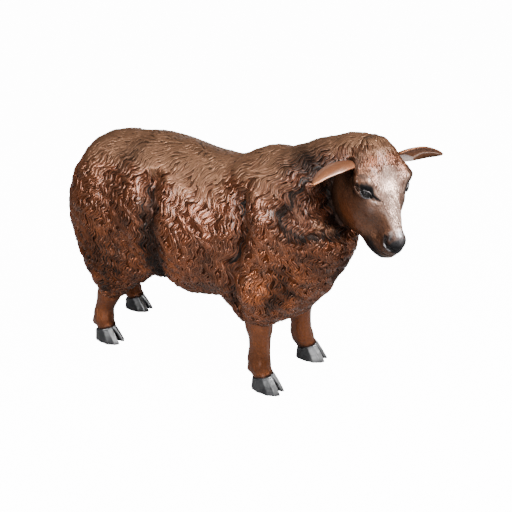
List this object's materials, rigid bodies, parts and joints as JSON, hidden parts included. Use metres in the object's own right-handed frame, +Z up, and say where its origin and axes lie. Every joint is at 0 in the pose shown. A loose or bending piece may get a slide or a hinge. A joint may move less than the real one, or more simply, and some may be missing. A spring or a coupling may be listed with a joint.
{
  "type": "bronze sheep statue",
  "caption": "Life-size cast bronze statue of a standing sheep, with its head lowered and turned to its right and a wavy fleece in relief.",
  "frame": {"origin": "on the floor under the middle of the statue's bounding box", "axes": "+X to the sheep's front, +Y to its left, +Z up"},
  "size_m": [1.1662, 0.4302, 0.8199],
  "materials": {
    "fleece": "brown and black patinated bronze, waxed, rubbed bright on the raised locks",
    "hide": "smooth mid-brown patina with fine engraved hair",
    "ear": "copper-brown patina, rubbed at the rims",
    "hoof": "near-black patina with a metallic sheen",
    "eye": "polished black patina"
  },
  "bodies": {
    "root": {"ear_right": "ear", "eye_right": "eye", "ear_left": "ear", "eye_left": "eye", "head": "hide", "shank_front_right": "hide", "hoof_front_right": "hoof", "shank_front_left": "hide", "hoof_front_left": "hoof", "shank_hind_right": "hide", "hoof_hind_right": "hoof", "shank_hind_left": "hide", "hoof_hind_left": "hoof", "forearm_right": "fleece", "forearm_left": "fleece", "thigh_right": "fleece", "thigh_left": "fleece", "tail": "fleece", "neck": "fleece", "trunk": "fleece"}
  },
  "joints": []
}
